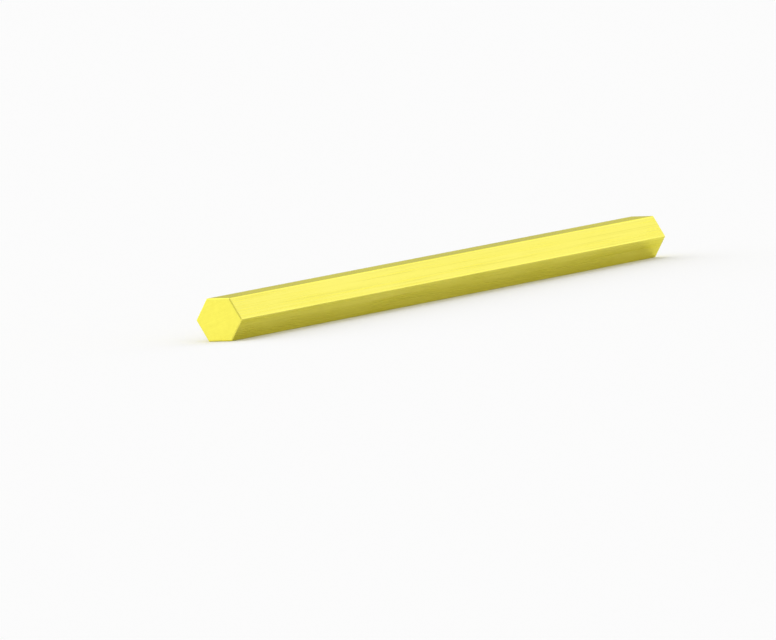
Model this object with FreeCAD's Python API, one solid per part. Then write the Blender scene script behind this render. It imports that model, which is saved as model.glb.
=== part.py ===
import FreeCAD
import Part
import math
import os

# A length of solid hexagonal bar, cold drawn in one piece and sawn square at both ends.
# It lies along X on one of its flats. The origin is under the middle of the bar, on the
# plane that it rests on, with Z up. All sizes are in millimetres.

# Driving dimensions
across_flats = 20.0     # distance between opposite flats, the size that the bar is sold by
length = 500.0          # from one sawn end to the other
corner_radius = 0.4     # rounding that the drawing die leaves along the six corners
end_break = 0.5         # 45 degree bevel that deburring leaves round each sawn end

SIDES = 6
SIDE_ANGLE = 2 * math.pi / SIDES


def sharp_bar():
    """The hexagonal section, before any edge is broken, drawn out over the whole length."""
    across_corners = across_flats / math.cos(SIDE_ANGLE / 2)
    corners = []
    for side in range(SIDES + 1):
        y = across_corners / 2 * math.cos(side * SIDE_ANGLE)
        z = across_corners / 2 * math.sin(side * SIDE_ANGLE) + across_flats / 2
        corners.append(FreeCAD.Vector(-length / 2, y, z))
    section = Part.Face(Part.makePolygon(corners))
    return section.extrude(FreeCAD.Vector(length, 0, 0))


def runs_along(edge):
    """Whether an edge is one of the bar's six long corners, and not part of a sawn end."""
    return edge.BoundBox.XLength > length / 2


def round_corners(bar):
    """The bar with the six long corners rounded, as it leaves the die."""
    long_edges = [edge for edge in bar.Edges if runs_along(edge)]
    return bar.makeFillet(corner_radius, long_edges)


def break_ends(bar):
    """The bar with a flat bevel along each of the six edges of both sawn ends."""
    end_edges = [edge for edge in bar.Edges if not runs_along(edge)]
    return bar.makeChamfer(end_break, end_edges)


def make_hex_bar():
    """One solid bar: what the rounded bar and the bevelled bar have in common."""
    bar = sharp_bar()
    return round_corners(bar).common(break_ends(bar))


def main():
    os.makedirs("parts", exist_ok=True)
    hex_bar = make_hex_bar()
    hex_bar.exportStep("parts/hex_bar.step")
    print("hex_bar:", round(hex_bar.Volume, 1), "mm3,", len(hex_bar.Faces), "faces")


main()
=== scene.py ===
import math

import bpy
from mathutils import Matrix, Vector


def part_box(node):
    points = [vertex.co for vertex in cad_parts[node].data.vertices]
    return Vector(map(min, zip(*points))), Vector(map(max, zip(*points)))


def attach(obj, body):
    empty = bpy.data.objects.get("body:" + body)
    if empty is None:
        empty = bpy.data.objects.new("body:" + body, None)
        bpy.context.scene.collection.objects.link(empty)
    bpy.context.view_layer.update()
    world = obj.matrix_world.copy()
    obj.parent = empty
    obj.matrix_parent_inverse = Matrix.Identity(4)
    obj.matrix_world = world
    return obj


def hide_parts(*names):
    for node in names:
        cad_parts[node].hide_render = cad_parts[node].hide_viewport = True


# The looks of a length of solid brass hexagon, cold drawn, sawn square at both ends and
# deburred. The bar lies along X on one of its flats, with Z up. Blender works in metres.

MM = 0.001
MICRON = 1e-6

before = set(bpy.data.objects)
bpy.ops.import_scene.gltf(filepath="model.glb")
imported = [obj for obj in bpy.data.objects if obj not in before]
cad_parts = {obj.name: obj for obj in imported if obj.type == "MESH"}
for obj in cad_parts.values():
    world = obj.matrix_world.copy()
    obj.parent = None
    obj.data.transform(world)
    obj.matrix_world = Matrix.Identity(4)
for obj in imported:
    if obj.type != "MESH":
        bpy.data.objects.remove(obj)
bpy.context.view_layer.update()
bar_low, bar_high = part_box("hex_bar")

# The bar, whose length and section come from the frame
LENGTH = bar_high.x - bar_low.x
APOTHEM = (bar_high.z - bar_low.z) / 2
CENTRE_Z = (bar_high.z + bar_low.z) / 2
CORNER_RADIUS = 0.4 * MM
END_BREAK = 0.5 * MM
SIDES = 6
SIDE_ANGLE = 2 * math.pi / SIDES

# The mesh
ARC_STEPS = 8           # faces round each drawn corner
FLAT_STEPS = 72         # faces across each flat, and along each side of the sawn end's grid
RINGS = 24              # rings of faces along the bar
SHARP_ANGLE = math.radians(30)

# The saw's marks on both ends are waves of the surface, in arcs about the middle of its blade
BLADE_Y = 60.0 * MM
BLADE_Z = 160.0 * MM
MARK_PITCH = 1.0 * MM
MARK_DEPTH = 0.012 * MM     # of the middle of the waves, below the plane of the end
MARK_STRENGTH = 0.6         # how far the waves go above and below that, as a share of it
MARK_SWING = 0.4            # how much that share grows and shrinks over the marks
MARK_SWING_TURN = 1.9       # how far that goes on with each mark, in radians
MARK_WANDER = 1.5           # how far the marks stray from even spacing, in radians
MARK_FADE = 4               # rings of the grid over which the marks run out to the bevel

# The map that the surface is unrolled to, in shares of its side: the drawn surface above,
# the two ends below
MAP_NAME = "OFBake"
MAP_MARGIN = 0.01
DRAWN_BOTTOM = 0.29
END_WIDTH = 0.25
END_MIDDLE_X = {-1: 0.2, 1: 0.6}
END_MIDDLE_Y = 0.14

# The materials of the mesh, by number, and the shader that each material has
DRAWN, SAWN, BROKEN = range(3)
SHADER = "Principled BSDF"

# The metal's colours, each between a darker and a paler one, and its roughness from place to
# place, between its least and its most
DRAWN_COLOURS = ((0.69, 0.635, 0.18), (0.81, 0.75, 0.24))
SAWN_COLOURS = ((0.89, 0.81, 0.1), (0.99, 0.915, 0.14))
BROKEN_COLOURS = ((0.91, 0.83, 0.11), (0.99, 0.92, 0.16))
GLANCING_TINT = (1.0, 0.97, 0.25)       # keeps the metal yellow where it is seen at a low angle
DRAWN_ROUGHNESS = (0.22, 0.38)
SAWN_ROUGHNESS = (0.32, 0.46)
BROKEN_ROUGHNESS = (0.2, 0.3)

# A mix of noises, each from 0 to 1, stays mostly between these
MIX_LOW = 0.37
MIX_HIGH = 0.63

# A streak of noise is a scratch where it rises above these
SCRATCH_FROM = 0.66
SCRATCH_FULL = 0.74

# The drawn corners are rubbed bright. The rubbing begins and is full at these distances from
# the bar's middle line.
RUBBED_FROM = APOTHEM + 1.1 * MM
RUBBED_FULL = APOTHEM + 1.45 * MM

# The floor
FLOOR_HALF = 30.0
FLOOR_BELOW = 0.05 * MM                 # keeps the floor's face apart from the bar's
FLOOR_WHITE = (1, 1, 1, 1)

# The light: an even room, and broad soft panels that brighten it. Each panel's middle is so
# many degrees round from +X and up from level. The panel is even out to one angle from its
# middle and has faded out at the next, and its brightness comes last.
ROOM_LIGHT = 0.6
PANELS = (
    (84, 50, 24, 62, 0.71),             # the main light, from behind the bar
    (344, 20, 10, 32, 0.76),            # what the upper flat in front mirrors
    (156, 10, 12, 36, 0.67),            # what the near end mirrors
    (270, 42, 8, 26, 0.3),              # a little from in front
)

# The camera, which stands far off behind a long lens, as the drawing has no perspective
CAMERA_TURN = math.radians(23.86)       # between the line of sight and the bar, seen from above
CAMERA_RISE = math.radians(3.6)
CAMERA_ROLL = math.radians(-3.0)
CAMERA_DISTANCE = 10.182
LENS = 1000.0                           # mm
SENSOR_WIDTH = 36.0                     # mm
PICTURE_WIDTH = 776                     # px
BAR_RIGHT = 48.0                        # px, from the middle of the picture to the middle of the bar
BAR_UP = 42.6                           # px


def corner_angle(side):
    """Direction of a corner from the middle of the section. Flat 0 follows corner 0."""
    return side * SIDE_ANGLE


def flat_angle(side):
    """Direction that a flat faces."""
    return corner_angle(side) + SIDE_ANGLE / 2


def direction(angle):
    """Unit vector in the plane of the section, as (y, z)."""
    return Vector((math.cos(angle), math.sin(angle)))


def corner_point(side, apothem):
    """Corner of the sharp hexagon with that apothem."""
    return direction(corner_angle(side)) * (apothem / math.cos(SIDE_ANGLE / 2))


def reach(point):
    """How far a point of the section lies from the middle, square to the flat nearest to it."""
    return max(point.dot(direction(flat_angle(side))) for side in range(SIDES))


def bevel_edge(point):
    """How far along the bar a point of the section meets the bevel, from the bar's middle."""
    return LENGTH / 2 - END_BREAK + APOTHEM - reach(point)


def drawn_outline():
    """The section's outline from the die: a rounded corner and then a flat, six times."""
    points = []
    for side in range(SIDES):
        centre = corner_point(side, APOTHEM - CORNER_RADIUS)
        next_centre = corner_point(side + 1, APOTHEM - CORNER_RADIUS)
        for step in range(ARC_STEPS):
            angle = flat_angle(side - 1) + SIDE_ANGLE * step / ARC_STEPS
            points.append(centre + direction(angle) * CORNER_RADIUS)
        outwards = direction(flat_angle(side)) * CORNER_RADIUS
        for step in range(FLAT_STEPS):
            points.append(centre.lerp(next_centre, step / FLAT_STEPS) + outwards)
    return points


def lengths_round(outline):
    """Share of the way round the outline at each of its points, and 1 at its first point again."""
    lengths = [0.0]
    for here, following in zip(outline, outline[1:] + outline[:1]):
        lengths.append(lengths[-1] + (following - here).length)
    return [length / lengths[-1] for length in lengths]


def drawn_place(x, way_round):
    """Place of a point of the drawn surface on the map."""
    across = MAP_MARGIN + (1 - 2 * MAP_MARGIN) * (x / LENGTH + 0.5)
    return across, DRAWN_BOTTOM + (1 - MAP_MARGIN - DRAWN_BOTTOM) * way_round


def end_place(point, end):
    """Place of a point of an end on the map."""
    scale = END_WIDTH / (2 * APOTHEM / math.cos(SIDE_ANGLE / 2))
    return END_MIDDLE_X[end] + point.x * scale * end, END_MIDDLE_Y + point.y * scale


class Skin:
    """A mesh in the making: its points, and each face's corners, places on the map and material."""

    def __init__(self):
        self.points = []
        self.faces = []
        self.places = []
        self.materials = []

    def add_point(self, x, section_point):
        """Adds a point and returns its number."""
        self.points.append((x, section_point.x, section_point.y + CENTRE_Z))
        return len(self.points) - 1

    def add_face(self, corners, material, flipped=False):
        """Adds a face. Each corner is a point's number and its place on the map."""
        ordered = corners[::-1] if flipped else corners
        self.faces.append([number for number, place in ordered])
        self.places.extend(place for number, place in ordered)
        self.materials.append(material)

    def make_object(self, name, materials):
        """Turns the skin into an object."""
        mesh = bpy.data.meshes.new(name)
        mesh.from_pydata(self.points, [], self.faces)
        surface_map = mesh.uv_layers.new(name=MAP_NAME)
        for loop, place in zip(surface_map.data, self.places):
            loop.uv = place
        for material in materials:
            mesh.materials.append(material)
        mesh.polygons.foreach_set("material_index", self.materials)
        mesh.shade_smooth()
        mesh.set_sharp_from_angle(angle=SHARP_ANGLE)
        piece = bpy.data.objects.new(name, mesh)
        bpy.context.scene.collection.objects.link(piece)
        return piece


def add_drawn_surface(skin, outline):
    """The flats and rounded corners, from bevel to bevel. Returns the last ring of points at each end."""
    way_round = lengths_round(outline)
    edges = [bevel_edge(point) for point in outline]
    shares = [2 * ring / RINGS - 1 for ring in range(RINGS + 1)]
    rings = [[skin.add_point(share * edge, point) for point, edge in zip(outline, edges)]
             for share in shares]

    def corner(ring, step):
        index = step % len(outline)
        return rings[ring][index], drawn_place(shares[ring] * edges[index], way_round[step])

    for ring in range(RINGS):
        for step in range(len(outline)):
            quad = [corner(ring, step), corner(ring, step + 1),
                    corner(ring + 1, step + 1), corner(ring + 1, step)]
            skin.add_face(quad, DRAWN)
    return {-1: rings[0], 1: rings[-1]}


def mark_depth(point):
    """Depth of the saw's marks at a point of the end, below its plane."""
    way = (point - Vector((BLADE_Y, BLADE_Z))).length / MARK_PITCH
    wander = MARK_WANDER * math.sin(way)
    strength = MARK_STRENGTH + MARK_SWING * math.sin(MARK_SWING_TURN * way)
    return MARK_DEPTH * (1 + strength * math.sin(2 * math.pi * way + wander))


def sawn_surface(point, ring):
    """How far along the bar the sawn surface lies, from the bar's middle, at a point of its grid."""
    fade = min(1.0, (FLAT_STEPS - ring) / MARK_FADE)
    return LENGTH / 2 - mark_depth(point) * fade


def end_grid():
    """Points of a sawn end in six-sided rings, from its middle out to the bevels."""
    corners = [corner_point(side, APOTHEM - END_BREAK) for side in range(SIDES)]
    grid = [[Vector((0.0, 0.0))]]
    for ring in range(1, FLAT_STEPS + 1):
        around = [corners[side].lerp(corners[(side + 1) % SIDES], step / ring)
                  for side in range(SIDES) for step in range(ring)]
        grid.append([point * (ring / FLAT_STEPS) for point in around])
    return grid


def add_sawn_end(skin, end):
    """A sawn end in small triangles. Returns its outermost ring of points, and where they lie."""
    grid = end_grid()
    rings = [[skin.add_point(end * sawn_surface(point, ring), point) for point in points]
             for ring, points in enumerate(grid)]

    def corner(ring, side, step):
        index = (side * ring + step) % len(rings[ring])
        return rings[ring][index], end_place(grid[ring][index], end)

    for ring in range(1, FLAT_STEPS + 1):
        for side in range(SIDES):
            for step in range(ring):
                outer = corner(ring, side, step + 1)
                inner = corner(ring - 1, side, step)
                skin.add_face([corner(ring, side, step), outer, inner], SAWN, end < 0)
                if step < ring - 1:
                    skin.add_face([inner, outer, corner(ring - 1, side, step + 1)], SAWN, end < 0)
    return rings[-1], grid[-1]


def add_bevels(skin, end, outline, drawn_ring, sawn_ring, sawn_points):
    """The six bevels of an end, between the drawn surface and the sawn face."""

    def outer_corner(step):
        index = step % len(outline)
        return drawn_ring[index], end_place(outline[index], end)

    def inner_corner(step):
        index = step % len(sawn_ring)
        return sawn_ring[index], end_place(sawn_points[index], end)

    for side in range(SIDES):
        first = side * (ARC_STEPS + FLAT_STEPS)
        sharp_corner = inner_corner(side * FLAT_STEPS)
        for step in range(first, first + ARC_STEPS):
            skin.add_face([outer_corner(step), outer_corner(step + 1), sharp_corner], BROKEN, end < 0)
        for step in range(FLAT_STEPS):
            outer = first + ARC_STEPS + step
            inner = side * FLAT_STEPS + step
            quad = [outer_corner(outer), outer_corner(outer + 1),
                    inner_corner(inner + 1), inner_corner(inner)]
            skin.add_face(quad, BROKEN, end < 0)


def make_bar(materials):
    """The whole bar as one closed mesh."""
    skin = Skin()
    outline = drawn_outline()
    drawn_rings = add_drawn_surface(skin, outline)
    for end, drawn_ring in drawn_rings.items():
        sawn_ring, sawn_points = add_sawn_end(skin, end)
        add_bevels(skin, end, outline, drawn_ring, sawn_ring, sawn_points)
    return skin.make_object("drawn_bar", materials)


def add_node(tree, kind, inputs=None, **settings):
    """Adds a node. Each input is a value, or the output of another node that feeds it."""
    node = tree.nodes.new(kind)
    for name, value in settings.items():
        setattr(node, name, value)
    for name, value in (inputs or {}).items():
        if isinstance(value, bpy.types.NodeSocket):
            tree.links.new(value, node.inputs[name])
        else:
            node.inputs[name].default_value = value
    return node


def place_in_mm(tree):
    """The place on the bar, in millimetres."""
    coordinates = add_node(tree, "ShaderNodeTexCoord")
    inputs = {"Vector": coordinates.outputs["Object"], "Scale": 1 / MM}
    return add_node(tree, "ShaderNodeVectorMath", inputs, operation="SCALE").outputs["Vector"]


def grain(tree, place, along, across, detail=2.0, start=0.0):
    """Noise from 0 to 1 whose grains are that long and that wide, in millimetres."""
    sizes = (1 / along, 1 / across, 1 / across)
    mapping = add_node(tree, "ShaderNodeMapping", {
        "Vector": place, "Location": (start, start, start), "Scale": sizes,
    })
    noise = add_node(tree, "ShaderNodeTexNoise", {
        "Vector": mapping.outputs["Vector"], "Scale": 1.0, "Detail": detail,
    })
    return noise.outputs["Fac"]


def from_line(tree, place, y, z):
    """How far the place is from a line along the bar, in millimetres."""
    across = add_node(tree, "ShaderNodeVectorMath", {0: place, 1: (0.0, 1.0, 1.0)}, operation="MULTIPLY")
    line = (0.0, y / MM, z / MM)
    way = add_node(tree, "ShaderNodeVectorMath", {0: across.outputs[0], 1: line}, operation="DISTANCE")
    return way.outputs["Value"]


def arcs(tree, place, width, detail=2.0, start=0.0):
    """Noise from 0 to 1 in arcs about the middle of the saw's blade, of that width in millimetres."""
    way = from_line(tree, place, BLADE_Y, BLADE_Z + CENTRE_Z)
    steps = add_node(tree, "ShaderNodeMath", {0: way, 1: 1 / width, 2: start}, operation="MULTIPLY_ADD")
    inputs = {"W": steps.outputs[0], "Scale": 1.0, "Detail": detail}
    return add_node(tree, "ShaderNodeTexNoise", inputs, noise_dimensions="1D").outputs["Fac"]


def weighted(tree, terms):
    """Sum of outputs, each times its weight."""
    total = 0.0
    for output, weight in terms:
        step = add_node(tree, "ShaderNodeMath", {0: output, 1: weight, 2: total}, operation="MULTIPLY_ADD")
        total = step.outputs[0]
    return total


def levels(tree, value, low, high, at_low=0.0, at_high=1.0):
    """at_low where the value is low, at_high where it is high, and even steps between."""
    ranged = add_node(tree, "ShaderNodeMapRange", {
        "Value": value, "From Min": low, "From Max": high, "To Min": at_low, "To Max": at_high,
    })
    return ranged.outputs["Result"]


def colours(tree, mix, pair):
    """The darker colour of the pair where a mix of noises is low, the paler where it is high."""
    ramp = add_node(tree, "ShaderNodeValToRGB", {"Fac": mix})
    for stop, position, colour in zip(ramp.color_ramp.elements, (MIX_LOW, MIX_HIGH), pair):
        stop.position = position
        stop.color = (*colour, 1)
    return ramp.outputs["Color"]


def bumps(tree, layers):
    """Normal of the surface under layers of relief, each with its height and its depth in metres."""
    inputs = {}
    for height, depth in layers:
        bump = add_node(tree, "ShaderNodeBump", {"Height": height, "Distance": depth, **inputs})
        inputs = {"Normal": bump.outputs["Normal"]}
    return bump.outputs["Normal"]


def new_material(name, settings):
    """A material with those settings on its shader."""
    material = bpy.data.materials.new(name)
    material.use_nodes = True
    for setting, value in settings.items():
        material.node_tree.nodes[SHADER].inputs[setting].default_value = value
    return material


def new_metal(name):
    """A metal with no colour, roughness or relief yet."""
    return new_material(name, {"Metallic": 1.0, "Specular Tint": (*GLANCING_TINT, 1)})


def finish_metal(tree, colour, dullness, roughness, normal):
    """Feeds the shader. The roughness goes from least to most with the dullness, a mix of noises."""
    inputs = tree.nodes[SHADER].inputs
    tree.links.new(colour, inputs["Base Color"])
    tree.links.new(levels(tree, dullness, MIX_LOW, MIX_HIGH, *roughness), inputs["Roughness"])
    tree.links.new(normal, inputs["Normal"])


def drawn_brass():
    """The surface from the die: satin, with fine lines along the bar, rubbed bright at its corners."""
    material = new_metal("drawn_brass")
    tree = material.node_tree
    place = place_in_mm(tree)
    hairlines = grain(tree, place, along=90.0, across=0.12, start=3.0)
    lines = grain(tree, place, along=160.0, across=0.5, start=11.0)
    bands = grain(tree, place, along=260.0, across=2.6, start=23.0)
    patches = grain(tree, place, along=45.0, across=14.0, detail=3.0, start=37.0)
    streaks = grain(tree, place, along=120.0, across=0.22, detail=0.0, start=53.0)
    scratches = levels(tree, streaks, SCRATCH_FROM, SCRATCH_FULL)
    middle_way = from_line(tree, place, 0.0, CENTRE_Z)
    rubbed = levels(tree, middle_way, RUBBED_FROM / MM, RUBBED_FULL / MM)
    tone = weighted(tree, (
        (hairlines, 0.2), (lines, 0.3), (bands, 0.25), (patches, 0.25), (scratches, -0.15), (rubbed, 0.12),
    ))
    dullness = weighted(tree, (
        (hairlines, 0.25), (lines, 0.35), (bands, 0.2), (patches, 0.2), (scratches, 0.2), (rubbed, -0.12),
    ))
    normal = bumps(tree, (
        (patches, 10 * MICRON), (bands, 8 * MICRON), (lines, 5 * MICRON),
        (hairlines, 2.5 * MICRON), (scratches, -3 * MICRON),
    ))
    finish_metal(tree, colours(tree, tone, DRAWN_COLOURS), dullness, DRAWN_ROUGHNESS, normal)
    return material


def sawn_brass():
    """A sawn end: duller and brighter yellow, with arcs from the saw's teeth."""
    material = new_metal("sawn_brass")
    tree = material.node_tree
    place = place_in_mm(tree)
    scores = arcs(tree, place, width=0.09, detail=1.0, start=5.0)
    swathes = arcs(tree, place, width=0.9, start=17.0)
    smears = grain(tree, place, along=2.0, across=2.0, detail=3.0, start=29.0)
    tone = weighted(tree, ((scores, 0.5), (swathes, 0.2), (smears, 0.3)))
    normal = bumps(tree, ((swathes, 4 * MICRON), (scores, 5 * MICRON)))
    finish_metal(tree, colours(tree, tone, SAWN_COLOURS), tone, SAWN_ROUGHNESS, normal)
    return material


def broken_brass():
    """The bevel that deburring leaves: bright, with short scratches."""
    material = new_metal("broken_brass")
    tree = material.node_tree
    place = place_in_mm(tree)
    scratches = grain(tree, place, along=0.1, across=0.5, start=7.0)
    normal = bumps(tree, ((scratches, 2 * MICRON),))
    finish_metal(tree, colours(tree, scratches, BROKEN_COLOURS), scratches, BROKEN_ROUGHNESS, normal)
    return material


def make_floor():
    """A plain white floor."""
    around = ((-1, -1), (1, -1), (1, 1), (-1, 1))
    corners = [(x * FLOOR_HALF, y * FLOOR_HALF, -FLOOR_BELOW) for x, y in around]
    mesh = bpy.data.meshes.new("floor")
    mesh.from_pydata(corners, [], [(0, 1, 2, 3)])
    floor = bpy.data.objects.new("floor", mesh)
    bpy.context.scene.collection.objects.link(floor)
    matt = {"Base Color": FLOOR_WHITE, "Roughness": 1.0, "Specular IOR Level": 0.0}
    mesh.materials.append(new_material("floor_white", matt))


def panel_light(tree, looking, around, up, even_angle, dark_angle, brightness):
    """Light of one soft panel, seen in the direction looked in."""
    middle = (math.cos(around) * math.cos(up), math.sin(around) * math.cos(up), math.sin(up))
    facing = add_node(tree, "ShaderNodeVectorMath", {0: looking, 1: middle}, operation="DOT_PRODUCT")
    fading = add_node(tree, "ShaderNodeMapRange", {
        "Value": facing.outputs["Value"],
        "From Min": math.cos(dark_angle), "From Max": math.cos(even_angle),
        "To Min": 0.0, "To Max": brightness,
    }, interpolation_type="SMOOTHSTEP")
    return fading.outputs["Result"]


def make_light():
    """The studio, as light from far off all round."""
    world = bpy.data.worlds.new("studio")
    world.use_nodes = True
    tree = world.node_tree
    looking = add_node(tree, "ShaderNodeTexCoord").outputs["Generated"]
    total = ROOM_LIGHT
    for *degrees, brightness in PANELS:
        light = panel_light(tree, looking, *map(math.radians, degrees), brightness)
        total = add_node(tree, "ShaderNodeMath", {0: light, 1: total}, operation="ADD").outputs[0]
    background = tree.nodes["Background"]
    background.inputs["Color"].default_value = (1, 1, 1, 1)
    tree.links.new(total, background.inputs["Strength"])
    bpy.context.scene.world = world


def camera_directions():
    """The camera's right, up and back when it looks straight at the middle of the bar."""
    back = Vector((
        -math.cos(CAMERA_TURN) * math.cos(CAMERA_RISE),
        -math.sin(CAMERA_TURN) * math.cos(CAMERA_RISE),
        math.sin(CAMERA_RISE),
    ))
    level = Vector((0, 0, 1)).cross(back).normalized()
    right = level * math.cos(CAMERA_ROLL) + back.cross(level) * math.sin(CAMERA_ROLL)
    return right, back.cross(right), back


def make_camera():
    """The camera, turned so that the middle of the bar lies where the drawing has it."""
    right, up, back = camera_directions()
    place = Vector((0, 0, CENTRE_Z)) + back * CAMERA_DISTANCE
    lens_in_pixels = LENS / SENSOR_WIDTH * PICTURE_WIDTH
    back = (back * lens_in_pixels + right * BAR_RIGHT + up * BAR_UP).normalized()
    right = up.cross(back).normalized()
    up = back.cross(right)
    data = bpy.data.cameras.new("camera")
    data.lens = LENS
    data.sensor_width = SENSOR_WIDTH
    data.clip_end = 2 * FLOOR_HALF
    camera = bpy.data.objects.new("camera", data)
    camera.matrix_world = Matrix.Translation(place) @ Matrix((right, up, back)).transposed().to_4x4()
    bpy.context.scene.collection.objects.link(camera)
    bpy.context.scene.camera = camera


bar = make_bar([drawn_brass(), sawn_brass(), broken_brass()])
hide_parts("hex_bar")
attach(bar, "root")
make_floor()
make_light()
make_camera()
bpy.context.scene.view_settings.view_transform = "Standard"
